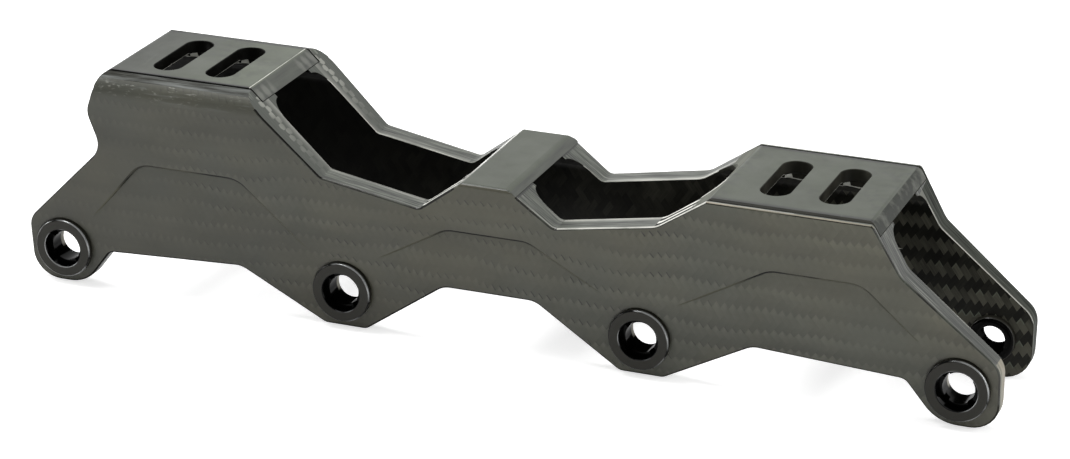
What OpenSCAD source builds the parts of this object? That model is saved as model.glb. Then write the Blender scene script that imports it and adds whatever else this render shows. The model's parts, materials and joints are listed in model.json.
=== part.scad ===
// Bare frame of a four-wheel inline skate: two side walls, two deck plates and a
// centre bridge of carbon laminate, with eight flanged axle bushes. Millimetres.
// X runs to the toe, Z up, Y to the left. The origin is under the middle of the
// wheel line, on the surface that the eight bosses stand on.

/* [Wheel line] */
// Distance between neighbouring axles
axle_pitch = 81; // [76:0.5:92]
// Radius of the wall around an end axle, also the axle height
boss_r = 10.2; // [9.4:0.1:13]
// Clear width between the two walls
channel_w = 28; // [26:0.5:36]
// Clear width between facing bushes, the length of a wheel hub
hub_gap = 24.4; // [20:0.1:25.6]

/* [Side walls] */
// Thickness of a wall at the axle line
wall_t = 4.4; // [3:0.1:7]
// Lean of the outer face, outwards going up, degrees
draft = 4.75; // [1:0.25:7]
// Length of the flat under each inner axle
boss_flat = 11.6; // [8:0.2:16]
// Height of the middle arch above the axle line
mid_arch_h = 5.5; // [2:0.1:10]
// Length of the middle arch's roof
mid_arch_l = 24.8; // [12:0.2:36]
// Height of an end arch above the axle line, where it is highest
end_arch_h = 2.4; // [0.5:0.1:8]
// Fall of an end arch's roof towards the end axle
end_arch_fall = 2.1; // [0:0.1:5]
// Distance from an inner axle to its end arch's roof
end_arch_in = 29.1; // [22:0.1:36]
// Distance from an end axle to its arch's roof
end_arch_out = 13.3; // [11:0.1:20]
// Height above the axle line where the nose of an end boss turns vertical
nose_h = 6.9; // [4:0.1:9]
// Height above the axle line where the toe slope meets the front end face
toe_kink_h = 27.4; // [22:0.1:32]
// Distance from the front axle back to that kink
toe_kink_in = 14.6; // [10:0.1:20]
// Height above the axle line where the heel slope meets the heel face
heel_kink_h = 30.3; // [24:0.1:34]
// Distance from the rear axle forward to that kink
heel_kink_in = 13.5; // [9:0.1:17]
// Height above the axle line of the heel face's furthest point
heel_bulge_h = 40.5; // [37:0.1:43]
// How far the heel face stands out beyond the rear deck
heel_bulge = 4.1; // [1:0.1:8]
// Rounding of the wall's upper edge beside the rear deck
shoulder_r = 5; // [1:0.25:6]

/* [Windows] */
// Half length of the wall's foot under the bridge
window_in = 18; // [14:0.2:24]
// Height of a window's sill above the axle line, beside the bridge
sill_in_h = 26.6; // [24:0.1:29]
// Distance from the middle to a window's outer corner
window_out = 45; // [36:0.2:50]
// Height of a window's sill above the axle line, at its outer corner
sill_out_h = 31.3; // [28:0.1:34]
// Length of slope left between the front deck's top and the scoop in its end
scoop_land = 1.5; // [0.4:0.1:4]
// Rounding of the scoop's corners, seen from above
scoop_r = 9.5; // [3:0.25:12]

/* [Decks and bridge] */
// Distance between the front and the rear boot bolts
mount_spacing = 165; // [150:0.5:180]
// Distance of the bolt pattern behind the middle of the wheel line
mount_back = 3.5; // [-6:0.5:8]
// Height of the rear deck above the axle line
rear_deck_h = 51.1; // [48:0.1:56]
// Length of the rear deck's top
rear_deck_l = 41.2; // [34:0.2:44]
// How far the middle of the rear deck lies behind its bolts
rear_deck_back = 0.6; // [-2:0.1:2]
// Width of the rear deck
rear_deck_w = 33.4; // [30:0.2:36]
// Height of the front deck above the axle line
front_deck_h = 40.3; // [38:0.1:44]
// Length of the front deck's top
front_deck_l = 41; // [34:0.5:44]
// Width of the front deck
front_deck_w = 40.8; // [32:0.2:41.4]
// Rounding of the front deck's long edges
front_deck_r = 1.4; // [0.4:0.1:2.4]
// Thickness of a deck plate
deck_t = 3.3; // [2:0.1:5]
// Height of a deck plate above the rim around it
rim_drop = 0.3; // [0.1:0.1:1]
// Bond gap along the sides of a deck plate
bond_gap = 0.3; // [0.1:0.05:0.5]
// Distance between the two slots of a deck
slot_pitch = 15; // [12:0.5:18]
// Width of a bolt slot
slot_w = 7.7; // [5:0.1:9]
// Length of a bolt slot, end to end
slot_l = 24.6; // [14:0.2:28]
// Height of the bridge above the axle line
bridge_h = 35.4; // [33:0.1:38]
// Length of the bridge's top
bridge_l = 12.4; // [8:0.2:18]
// Thickness of the bridge cap
bridge_t = 1.7; // [1.2:0.1:3.4]
// Rounding of the cap's edges over the walls
bridge_r = 1.1; // [0.4:0.1:1.2]
// How far the cap stands out over the wall towards the toe
bridge_lip = 0.2; // [0.1:0.1:1.2]
// How far the ledges under decks and bridge reach inwards
ledge_w = 4.2; // [2:0.1:5]
// Thickness of a ledge at its tip
ledge_tip = 0.8; // [0.4:0.1:1.6]

/* [Pockets] */
// Height of the rear pocket above the axle line
rear_pocket_h = 27; // [20:0.2:29]
// Length of the rear pocket's top
rear_pocket_l = 28; // [16:0.5:34]
// Offset of the rear pocket's top from the middle of its bay, towards the toe
rear_pocket_shift = -2; // [-6:0.5:6]
// Height of the middle pocket above the axle line
mid_pocket_h = 21.5; // [16:0.2:23]
// Length of the middle pocket's top
mid_pocket_l = 22; // [12:0.5:30]
// Height of the front pocket above the axle line
front_pocket_h = 23.6; // [18:0.2:26]
// Length of the front pocket's top
front_pocket_l = 23; // [16:0.5:34]
// Offset of the front pocket's top from the middle of its bay, towards the toe
front_pocket_shift = 4.5; // [-6:0.5:6]
// Height above the axle line where a pocket runs out into the wall's face
pocket_foot_h = 10; // [6:0.2:14]
// Distance from a pocket's foot to the bush beside it
pocket_margin = 1.6; // [1:0.1:4]

/* [Axle bushes] */
// Diameter of a bush's flange
flange_d = 16; // [14:0.1:18]
// Thickness of a bush's flange
flange_t = 1.8; // [1.2:0.1:3]
// Diameter of a bush's sleeve
sleeve_d = 12; // [11.6:0.1:13]
// Diametral clearance of a sleeve in its wall
sleeve_play = 0.1; // [0.04:0.02:0.2]
// Gap between a flange and the spot face around it
spot_gap = 0.4; // [0.1:0.1:1]
// Width of a flange's chamfers
flange_chamfer = 0.6; // [0.2:0.1:1]
// Bore of a plain bush, for an 8 mm axle
axle_bore = 8.1; // [7:0.05:9]
// Diameter of the recess for the axle's head
head_d = 10.4; // [9.6:0.1:11.2]
// Depth of that recess
head_depth = 2.2; // [1:0.1:4]
// Minor diameter of the tapped bush's M8 x 1 thread
tap_d = 6.92; // [6:0.02:7.6]

/* [Hidden] */
$fn = 64;

// Colours
laminate = [0.31, 0.31, 0.29];
plate = [0.45, 0.46, 0.44];
anodised = [0.06, 0.06, 0.065];

// Wheel line
axle_z = boss_r;
inner_axle_x = axle_pitch / 2;
end_axle_x = inner_axle_x + axle_pitch;
end_x = end_axle_x + boss_r;
axles = [for (i = [0:3]) end_axle_x - i * axle_pitch];

// Wall faces, as distances from the middle plane
wall_in = channel_w / 2;
wall_out = wall_in + wall_t;
lean = tan(draft);
pocket_floor = wall_out + lean * pocket_foot_h;
bush_l = wall_out + flange_t - hub_gap / 2;

// Decks and bridge
front_deck_x = mount_spacing / 2 - mount_back;
rear_deck_x = -mount_spacing / 2 - mount_back;
rear_deck_mid = rear_deck_x - rear_deck_back;
rear_top = axle_z + rear_deck_h;
front_top = axle_z + front_deck_h;
bridge_top = axle_z + bridge_h;
sill_in_z = axle_z + sill_in_h;
sill_out_z = axle_z + sill_out_h;
bridge_run = (window_in - bridge_l / 2) / (bridge_h - sill_in_h);
cap_seat_x = bridge_l / 2 + bridge_t * bridge_run;
deck_reach = end_axle_x - window_out;
scoop_x = front_deck_x - front_deck_l / 2 - scoop_land;
seat_depth = deck_t + ledge_tip + ledge_w;

// Outer edge of the rim beside the rear deck, and how far cuts reach sideways
function half_at(z) = wall_out + lean * (z - axle_z);
rim_top = rear_top - rim_drop;
rim_half = half_at(rim_top);
past = 1;
side_reach = max(rim_half, wall_out + flange_t, front_deck_w / 2, rear_deck_w / 2) + past;

// Roundings of the side outline
arch_round = 6;
foot_round = 3;
nose_round = 6;
kink_round = 7;
sill_round = 2.5;
deck_round = 2.4;
heel_round = 6;
pocket_round = 7;
arc_steps = 8;
// Largest share of a side that the rounding of one of its corners may take
corner_share = 0.48;

// Plain geometry: unit vector, and one rounded corner b between a and c
function unit(v) = v / norm(v);
function turn_between(from, to) =
    let (t = atan2(to.y, to.x) - atan2(from.y, from.x))
    t > 180 ? t - 360 : t < -180 ? t + 360 : t;
function corner(a, b, c, r) =
    let (
        u = unit(a - b),
        v = unit(c - b),
        half = acos(u * v) / 2,
        room = corner_share * min(norm(a - b), norm(c - b)),
        reach = min(r / tan(half), room),
        radius = reach * tan(half),
        centre = b + unit(u + v) * radius / sin(half),
        from = b + u * reach - centre,
        to = b + v * reach - centre,
        start = atan2(from.y, from.x),
        turn = turn_between(from, to)
    )
    [for (i = [0:arc_steps])
        let (angle = start + turn * i / arc_steps)
        centre + radius * [cos(angle), sin(angle)]];
function flat(p) = [p.x, p.y];
// Outline through points [x, z, rounding]
function rounded(path) =
    let (n = len(path))
    [for (i = [0:n - 1])
        let (b = path[i])
        each b[2] == 0 ? [flat(b)]
            : corner(flat(path[(i + n - 1) % n]), flat(b), flat(path[(i + 1) % n]), b[2])];

// Underside of the wall from the middle to the toe: two arches, a boss and the nose
under = [
    [mid_arch_l / 2, axle_z + mid_arch_h, arch_round],
    [inner_axle_x - boss_flat / 2, 0, foot_round],
    [inner_axle_x + boss_flat / 2, 0, foot_round],
    [inner_axle_x + end_arch_in, axle_z + end_arch_h, arch_round],
    [end_axle_x - end_arch_out, axle_z + end_arch_h - end_arch_fall, foot_round],
    [end_axle_x - boss_r / 2, 0, boss_r],
    [end_x, 0, boss_r],
    [end_x, axle_z + nose_h, nose_round]
];

// Top of the wall from toe to heel, over both decks, both windows and the bridge
over = [
    [end_axle_x - toe_kink_in, axle_z + toe_kink_h, kink_round],
    [front_deck_x + front_deck_l / 2, front_top, deck_round],
    [front_deck_x - front_deck_l / 2, front_top, deck_round],
    [window_out, sill_out_z, kink_round],
    [window_in, sill_in_z, sill_round],
    [bridge_l / 2, bridge_top, 0],
    [-bridge_l / 2, bridge_top, 0],
    [-window_in, sill_in_z, sill_round],
    [-window_out, sill_out_z, sill_round],
    [rear_deck_mid + rear_deck_l / 2, rear_top, deck_round],
    [rear_deck_mid - rear_deck_l / 2, rear_top, deck_round],
    [rear_deck_mid - rear_deck_l / 2 - heel_bulge, axle_z + heel_bulge_h, heel_round],
    [-end_axle_x + heel_kink_in, axle_z + heel_kink_h, arch_round]
];
mirrored_under = [for (i = [len(under) - 1:-1:0]) [-under[i].x, under[i].y, under[i][2]]];
side_outline = rounded(concat(under, over, mirrored_under));

// Outside of the frame seen from the toe, up to a top with rounded edges
function envelope_outline(top, edge_r) = rounded([
    [half_at(-past), -past, 0],
    [half_at(top), top, edge_r],
    [-half_at(top), top, edge_r],
    [-half_at(-past), -past, 0]
]);

// Extrusions: a side outline across the frame, and a cross section along it
module across(width) {
    rotate([90, 0, 0])
        linear_extrude(width, center = true)
            children();
}
module along(from, to) {
    translate([from, 0, 0])
        rotate([90, 0, 90])
            linear_extrude(to - from)
                children();
}
module side_block() {
    across(2 * side_reach)
        polygon(side_outline);
}
module envelope(top, edge_r) {
    along(-end_x - past, end_x + past)
        polygon(envelope_outline(top, edge_r));
}

// Ledge with a round underside that carries a plate's edge on the right wall
module ledge(top, from, to) {
    tip_y = wall_in - ledge_w;
    hollow = [for (i = [0:arc_steps])
        let (angle = 90 - 90 * i / arc_steps)
        [-tip_y - ledge_w * cos(angle), top - ledge_tip - ledge_w * (1 - sin(angle))]];
    along(from, to)
        polygon(concat([[-wall_in - past, top], [-tip_y, top]], hollow,
            [[-wall_in - past, top - ledge_tip - ledge_w]]));
}

// Shallow pocket between two axles in the right wall's outer face. Its floor is upright,
// so it is deepest at the top and runs out into the leaning face at its foot.
module pocket(bay, height, top_l, shift) {
    foot = axle_pitch / 2 - flange_d / 2 - pocket_margin;
    foot_z = axle_z + pocket_foot_h;
    translate([bay * axle_pitch, -(side_reach + pocket_floor) / 2, 0])
        across(side_reach - pocket_floor)
            polygon(rounded([
                [foot, foot_z - past, 0],
                [foot, foot_z, 0],
                [shift + top_l / 2, axle_z + height, pocket_round],
                [shift - top_l / 2, axle_z + height, pocket_round],
                [-foot, foot_z, 0],
                [-foot, foot_z - past, 0]
            ]));
}

// Seat for a deck plate, with the rim beside it lowered a little
module deck_seat(x, top, width) {
    translate([x - deck_reach / 2, -width / 2 - bond_gap, top - deck_t])
        cube([deck_reach, width + 2 * bond_gap, deck_t + past]);
    translate([x - deck_reach / 2, -side_reach, top - rim_drop])
        cube([deck_reach, 2 * side_reach, rim_drop + past]);
}

// Upright pad that a bush's flange sits on
module bush_pad(x) {
    translate([x, -wall_in, axle_z])
        rotate([90, 0, 0])
            cylinder(d = flange_d, h = wall_t);
}

// Round hole for a bush, with a spot face around its flange
module bush_hole(x) {
    translate([x, past - wall_in, axle_z])
        rotate([90, 0, 0])
            cylinder(d = sleeve_d + sleeve_play, h = side_reach);
    translate([x, -wall_out, axle_z])
        rotate([90, 0, 0])
            cylinder(d = flange_d + 2 * spot_gap, h = side_reach);
}

// Slot that runs across the frame, for a boot bolt, cut from above the deck downwards
module bolt_slot(x, top, depth) {
    run = slot_l - slot_w;
    translate([x, 0, top - depth]) {
        translate([-slot_w / 2, -run / 2, 0])
            cube([slot_w, run, depth + past]);
        for (side = [-1, 1])
            translate([0, side * run / 2, 0])
                cylinder(d = slot_w, h = depth + past);
    }
}
module deck_slots(x, top, depth) {
    for (side = [-1, 1])
        bolt_slot(x + side * slot_pitch / 2, top, depth);
}

// Round-cornered end of the front window, cut down through the deck and its ledges
module scoop() {
    translate([0, 0, front_top - seat_depth - past])
        linear_extrude(seat_depth + 2 * past)
            polygon(rounded([
                [window_in + past, -wall_in, 0],
                [scoop_x, -wall_in, scoop_r],
                [scoop_x, wall_in, scoop_r],
                [window_in + past, wall_in, 0]
            ]));
}

// The right wall as it is moulded, with a ledge under each plate and a pad at each axle
module wall_blank() {
    intersection() {
        side_block();
        union() {
            intersection() {
                envelope(rim_top, shoulder_r);
                translate([-end_x - past, -side_reach, -past])
                    cube([2 * (end_x + past), side_reach - wall_in, rear_top + 2 * past]);
            }
            ledge(rear_top - deck_t, -end_axle_x, -window_out);
            ledge(bridge_top - bridge_t, -window_in, window_in);
            ledge(front_top - deck_t, window_out, end_axle_x);
            for (x = axles)
                bush_pad(x);
        }
    }
}

module wall() {
    difference() {
        wall_blank();
        deck_seat(rear_deck_x, rear_top, rear_deck_w);
        deck_seat(front_deck_x, front_top, front_deck_w);
        deck_slots(rear_deck_x, rear_top, seat_depth + past);
        deck_slots(front_deck_x, front_top, seat_depth + past);
        scoop();
        translate([-window_in, -side_reach, bridge_top - bridge_t])
            cube([2 * window_in, 2 * side_reach, bridge_t + past]);
        pocket(-1, rear_pocket_h, rear_pocket_l, rear_pocket_shift);
        pocket(0, mid_pocket_h, mid_pocket_l, 0);
        pocket(1, front_pocket_h, front_pocket_l, front_pocket_shift);
        for (x = axles)
            bush_hole(x);
    }
}

module right_wall() {
    color(laminate)
        wall();
}

module left_wall() {
    color(laminate)
        mirror([0, 1, 0])
            wall();
}

// Plate that follows the wall's outline at both ends, with two slots
module deck(x, top, width) {
    difference() {
        intersection() {
            side_block();
            translate([x - deck_reach / 2, -width / 2, top - deck_t])
                cube([deck_reach, width, deck_t + past]);
        }
        deck_slots(x, top, deck_t + past);
    }
}

module rear_deck() {
    color(plate)
        deck(rear_deck_x, rear_top, rear_deck_w);
}

module front_deck() {
    half = front_deck_w / 2;
    foot = front_top - deck_t - past;
    color(plate)
        difference() {
            intersection() {
                deck(front_deck_x, front_top, front_deck_w);
                along(window_in, end_x)
                    polygon(rounded([
                        [-half, foot, 0],
                        [half, foot, 0],
                        [half, front_top, front_deck_r],
                        [-half, front_top, front_deck_r]
                    ]));
            }
            scoop();
        }
}

module bridge() {
    cap = rounded([
        [cap_seat_x + bridge_lip, bridge_top - bridge_t, 0],
        [bridge_l / 2 + bridge_lip, bridge_top, kink_round],
        [-bridge_l / 2, bridge_top, 0],
        [-cap_seat_x, bridge_top - bridge_t, 0]
    ]);
    color(plate)
        intersection() {
            across(2 * side_reach)
                polygon(cap);
            envelope(bridge_top, bridge_r);
        }
}

// Flanged sleeve pushed in from outside, its axis along +Y from the flange's face
module bush_body() {
    rim = flange_d / 2;
    rotate([-90, 0, 0])
        rotate_extrude()
            polygon([
                [0, 0],
                [rim - flange_chamfer, 0],
                [rim, flange_chamfer],
                [rim, flange_t],
                [sleeve_d / 2, flange_t],
                [sleeve_d / 2, bush_l],
                [0, bush_l]
            ]);
}
module bush_bore(diameter, depth) {
    translate([0, -past, 0])
        rotate([-90, 0, 0])
            cylinder(d = diameter, h = depth + past);
}

// Bush number 1 is nearest the toe
module plain_bush(number) {
    color(anodised)
        translate([axles[number - 1], -wall_out - flange_t, axle_z])
            difference() {
                bush_body();
                bush_bore(axle_bore, bush_l + past);
                bush_bore(head_d, head_depth);
            }
}

module thread_bush(number) {
    color(anodised)
        translate([axles[number - 1], wall_out + flange_t, axle_z])
            mirror([0, 1, 0])
                difference() {
                    bush_body();
                    bush_bore(tap_d, bush_l + past);
                }
}

right_wall();
left_wall();
rear_deck();
front_deck();
bridge();
plain_bush(1);  // plain_bush_1
plain_bush(2);  // plain_bush_2
plain_bush(3);  // plain_bush_3
plain_bush(4);  // plain_bush_4
thread_bush(1);  // thread_bush_1
thread_bush(2);  // thread_bush_2
thread_bush(3);  // thread_bush_3
thread_bush(4);  // thread_bush_4
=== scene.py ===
"""Dresses the bare inline skate frame: laminate walls, plates, bridge and bushes on a white stage."""

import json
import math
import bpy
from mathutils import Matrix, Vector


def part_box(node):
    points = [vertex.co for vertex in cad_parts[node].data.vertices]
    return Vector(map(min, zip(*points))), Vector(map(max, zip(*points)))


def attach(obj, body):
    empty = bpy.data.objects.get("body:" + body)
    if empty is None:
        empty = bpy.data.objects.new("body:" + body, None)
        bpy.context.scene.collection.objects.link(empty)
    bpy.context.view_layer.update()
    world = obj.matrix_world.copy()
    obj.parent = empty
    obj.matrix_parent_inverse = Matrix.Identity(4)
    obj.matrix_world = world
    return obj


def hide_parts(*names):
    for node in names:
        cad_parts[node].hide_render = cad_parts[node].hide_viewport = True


bl_info = {
    "name": "Bare inline skate frame",
    "version": (1, 0, 0),
    "blender": (4, 5, 0),
    "location": "View3D > Sidebar > Skate frame",
    "description": "Woven laminate walls, sanded plates and turned axle bushes for a skate frame",
    "category": "Object",
}

from functools import partial

import bmesh
import bpy
from bpy.props import FloatProperty, FloatVectorProperty, IntProperty, PointerProperty
from mathutils import Matrix, Vector

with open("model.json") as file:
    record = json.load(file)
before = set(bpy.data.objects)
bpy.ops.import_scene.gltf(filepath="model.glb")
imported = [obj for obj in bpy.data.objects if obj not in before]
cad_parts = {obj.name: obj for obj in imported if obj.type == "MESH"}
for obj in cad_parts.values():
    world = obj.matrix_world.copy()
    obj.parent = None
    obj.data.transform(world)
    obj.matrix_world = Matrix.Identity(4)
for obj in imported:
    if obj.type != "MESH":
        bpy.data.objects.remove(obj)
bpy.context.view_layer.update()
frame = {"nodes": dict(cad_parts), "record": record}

MM = 0.001
WELD = 1e-6
TOUCH = 0.01 * MM
FLAT_ANGLE = math.radians(0.3)
SHARP_ANGLE = math.radians(32)
SMOOTH_ANGLE = math.radians(33)
WHITE = (1.0, 1.0, 1.0, 1.0)

# How far a face turns one way: the part of its normal that points there.
BARELY = 0.1
A_LITTLE = 0.2
SLIGHTLY = 0.25
PARTLY = 0.3
HALFWAY = 0.5
MOSTLY = 0.6
NEARLY = 0.8
SQUARELY = 0.9
FULLY = 0.99
SLOT_GLINT = (0.58, 0.96)
REAR_LINE = (0.96, 0.98)

# Places and sizes on the frame: along it in X, across it in Y and up in Z.
MOUNTS = {mount["name"]: mount for mount in frame["record"]["mounts"]}
AXLES = [Vector(MOUNTS["axle_bore_%d" % number]["pos_m"]) for number in (1, 2, 3, 4)]
AXLE_PITCH = AXLES[0].x - AXLES[1].x
AXLE_Z = AXLES[0].z
BORE_R = MOUNTS["axle_bore_1"]["dims"]["r_mm"] * MM
THREAD_R = MOUNTS["axle_thread_1"]["dims"]["r_mm"] * MM
PLAIN_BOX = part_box("plain_bush_1")
THREAD_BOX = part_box("thread_bush_1")
FLANGE_R = (PLAIN_BOX[1].x - PLAIN_BOX[0].x) / 2
BUSH_L = PLAIN_BOX[1].y - PLAIN_BOX[0].y
BUSH_CLEAR = 9.2 * MM
DECK_BOXES = [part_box(name) for name in ("rear_deck", "front_deck")]
REAR_TOP_Z = DECK_BOXES[0][1].z
BRIDGE_LOW, BRIDGE_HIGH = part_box("bridge")
WALL_IN = 14.0 * MM
WALL_OUT = 18.4 * MM
DRAFT = math.radians(4.75)
SEAT_GAP = 0.32 * MM
POCKET_Z = (18.5 * MM, 38.0 * MM)
END_REACH = 9.0 * MM
SHOULDER_X = -60.0 * MM
REAR_SLOPE_X = -54.5 * MM
REAR_SLOPE_REACH = 9.5 * MM
BRIDGE_REACH = 30.0 * MM
BRIDGE_FOOT_X = 10.0 * MM
WINDOW_REACH = 60.0 * MM
# Reach from the middle of the frame in which the slopes carry painted edge highlights.
EDGE_HIGHLIGHT_REACH = 80.0 * MM
FRONT_X = 50.0 * MM
SILL_X = (19.0 * MM, 58.0 * MM)
SCOOP_X = 57.0 * MM
SCOOP_R = 9.5 * MM
SCOOP_SIDE_Y = (4.0 * MM, 16.0 * MM)
STRIPE_PITCH = 3.6 * MM
SLOT_ROWS = ((-106.0 * MM, -72.0 * MM), (60.0 * MM, 94.0 * MM))
LEDGE_TIP_Y = 9.8 * MM
TOE_X = 96.0 * MM
NOSE_X = 120.0 * MM

# Turned details of the bushes, with the turn in degrees.
NOTCH_HALF_TURN = 11.0
RIDGE_SUNK = 0.08 * MM
FLANGE_ROUND = 0.50 * MM
FLANGE_BACK_ROUND = 0.15 * MM
MOUTH_ROUND = 0.22 * MM
SLEEVE_ROUND = 0.80 * MM
BORE_ROUND = 0.20 * MM

# The studio. A soft box has a name, a place, a size and the setting that holds its power.
FLOOR_SIZE = 6.0
FLOOR_Z = -0.2 * MM
ROOM_EDGE = (-0.40, 0.10)
SENSOR_WIDTH = 36.0
LAMP_TARGET = (0, 0, 0.03)
SOFT_BOXES = (
    ("top_box", (-0.37, 0.03, 1.0), (0.7, 0.22), "top_power"),
    ("left_box", (-1.0, 0.0, 0.42), (0.5, 0.35), "side_power"),
    ("right_box", (1.0, 0.30, 0.45), (0.5, 0.5), "side_power"),
)

Length = partial(FloatProperty, unit="LENGTH", subtype="DISTANCE")
Power = partial(FloatProperty, unit="POWER", subtype="POWER")
Place = partial(FloatVectorProperty, size=3, unit="LENGTH", subtype="TRANSLATION")
Colour = partial(FloatVectorProperty, size=3, subtype="COLOR", min=0, max=1)


class LaminateSettings(bpy.types.PropertyGroup):
    """Sizes and colours of the moulded walls."""

    tow_width: Length(name="Tow width", description="Width of one woven tow of fibres", default=0.0015)
    outer_round: Length(name="Outer rounding", description="Rounding of the outside edges", default=0.00045)
    crease_round: Length(
        name="Crease rounding", description="Rounding of the edges of the pockets", default=0.00055)
    inner_round: Length(
        name="Inner rounding", description="Rounding of the edges inside the wheel channel",
        default=0.00020)
    outside_colour: Colour(
        name="Outside", description="Satin lacquer over the outside weave", default=(0.077, 0.075, 0.053))
    outside_cool: Colour(
        name="Outside, cooler", description="Cooler clouds in the satin lacquer",
        default=(0.066, 0.068, 0.052))
    crest_colour: Colour(
        name="Tow crests", description="Upper ends of the tows, where they catch the light",
        default=(0.125, 0.122, 0.098))
    line_colour: Colour(
        name="Tow lines", description="Dark lines between the tows outside", default=(0.022, 0.022, 0.017))
    inside_dark: Colour(
        name="Inside, dark tows", description="Tows that lie across the light inside the channel",
        default=(0.0018, 0.0018, 0.0014))
    inside_light: Colour(
        name="Inside, light tows", description="Tows that lie along the light inside the channel",
        default=(0.085, 0.083, 0.064))
    cut_colour: Colour(
        name="Cut edge", description="Sanded edge of the laminate", default=(0.112, 0.126, 0.098))
    ply_colour: Colour(
        name="Ply lines", description="Dark plies that show in the cut edge", default=(0.012, 0.013, 0.011))
    pale_colour: Colour(
        name="Open weave", description="Pale fibres that sanding has opened", default=(0.28, 0.285, 0.25))
    # Painted reflection: this near-white colour stands in for light that the slopes reflect.
    bright_colour: Colour(
        name="Polished edge", description="Bright plies of the edges that rubbing has polished",
        default=(0.86, 0.86, 0.80))
    # Painted highlight: this pale colour stands in for light caught along thin edges.
    rubbed_colour: Colour(
        name="Rubbed line", description="Thin edges that handling has rubbed pale",
        default=(0.62, 0.62, 0.56))
    # Painted light: this pale colour stands in for the light on the walls' blunt ends and the front rim's
    # lip.
    nose_colour: Colour(
        name="Nose", description="Pale rubbed ends of the walls", default=(0.34, 0.29, 0.21))
    scuff_colour: Colour(
        name="Scuffs", description="Pale scuffs along the shoulder beside the rear deck",
        default=(0.19, 0.20, 0.19))


class PlateSettings(bpy.types.PropertyGroup):
    """Sizes and colours of the deck plates and the bridge cap."""

    edge_round: Length(
        name="Edge rounding", description="Rounding of a plate's edges and slots", default=0.00030)
    colour: Colour(name="Plate", description="Sanded plate", default=(0.048, 0.056, 0.038))
    end_light: Colour(
        name="End, light", description="Light plies of a plate's cut end", default=(0.070, 0.076, 0.062))
    end_dark: Colour(
        name="End, dark", description="Dark plies of a plate's cut end", default=(0.030, 0.033, 0.027))
    pale: Colour(
        name="Open weave", description="Pale fibres that sanding has opened", default=(0.20, 0.205, 0.18))
    # Painted highlight: this near-white colour stands in for light along the front deck's scoop and in its
    # plies.
    line_colour: Colour(
        name="Rubbed line", description="Pale line along the scooped end of the front deck",
        default=(0.80, 0.80, 0.74))
    # This colour darkens a strip of a deck's top along each long edge, beside the seam.
    seam_colour: Colour(
        name="Seam", description="Dark bond that shows along a deck's long edges",
        default=(0.010, 0.011, 0.009))


class BushSettings(bpy.types.PropertyGroup):
    """Sizes and colours of the turned axle bushes."""

    flange_t: Length(name="Flange thickness", description="Thickness of a bush's flange", default=0.0018)
    sleeve_r: Length(
        name="Sleeve radius", description="Radius of the sleeve inside the wall", default=0.006)
    head_r: Length(
        name="Head recess radius", description="Radius of the recess for the axle's head", default=0.0052)
    head_depth: Length(
        name="Head recess depth", description="Depth of the recess for the axle's head", default=0.0022)
    notch_depth: Length(
        name="Notch depth", description="Depth of the four notches in the recess's shoulder",
        default=0.0016)
    thread_pitch: Length(name="Thread pitch", description="Rise of the thread in one turn", default=0.001)
    thread_major_r: Length(
        name="Thread radius", description="Radius of the thread at its root", default=0.004)
    sides: IntProperty(name="Sides", description="Sides of a turned circle", default=96, min=24)
    colour: Colour(name="Anodised", description="Black anodised metal", default=(0.022, 0.021, 0.016))
    bore_colour: Colour(name="Bore", description="Black inside of a bush", default=(0.0012, 0.0012, 0.0011))
    # Painted reflection: this pale colour stands in for light that a bore's wall reflects.
    streak_colour: Colour(
        name="Streak", description="Pale streak deep in a bore", default=(0.62, 0.60, 0.52))
    # Painted highlight: this bright metal colour stands in for light caught on the bushes' thin rims.
    rim_colour: Colour(name="Rim", description="Bright metal on rubbed edges", default=(0.42, 0.43, 0.43))


class StageSettings(bpy.types.PropertyGroup):
    """Camera, floor and lights."""

    camera_place: Place(
        name="Camera", description="Where the camera stands", default=(0.2916, -0.7131, 0.3399))
    camera_target: Place(
        name="Camera target", description="Point that the camera looks at", default=(0.00507, 0.0, 0.02695))
    camera_roll: FloatProperty(
        name="Camera roll", description="Turn of the camera about its own line of sight",
        default=math.radians(-0.1), unit="ROTATION", subtype="ANGLE")
    lens: FloatProperty(
        name="Lens", description="Focal length on a 36 mm wide sensor, in millimetres", default=109.71)
    floor_colour: Colour(name="Floor", description="Pale studio floor", default=(0.82, 0.82, 0.82))
    floor_lift: FloatProperty(
        name="Floor white", description="White that the camera sees on the floor besides its own shade",
        default=0.62)
    gloss_lift: FloatProperty(
        name="Floor in gloss", description="White that the gloss sees on the floor besides its own shade",
        default=0.15)
    fill: FloatProperty(
        name="Fill light", description="Strength of the light from all round", default=0.50)
    room: FloatProperty(
        name="Room", description="Strength of the dim room in front, as the gloss shows it", default=0.15)
    top_power: Power(name="Top light", description="Power of the soft box overhead", default=6.5)
    side_power: Power(
        name="Side lights", description="Power of each soft box beside the frame", default=4.0)


def deselect_all():
    """Leaves edit mode and clears the selection."""
    leave_edit()
    bpy.ops.object.select_all(action="DESELECT")


def leave_edit():
    """Goes back to object mode."""
    if bpy.context.mode != "OBJECT":
        bpy.ops.object.mode_set(mode="OBJECT")


def edit_all():
    """Opens the active piece in edit mode, with all of it selected."""
    bpy.ops.object.mode_set(mode="EDIT")
    bpy.ops.mesh.select_all(action="SELECT")


def settle():
    """Moves the active piece's place, turn and scale into its mesh."""
    bpy.ops.object.transform_apply(location=True, rotation=True, scale=True)


def make_active(piece):
    """Selects one piece alone."""
    deselect_all()
    piece.select_set(True)
    bpy.context.view_layer.objects.active = piece


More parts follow.
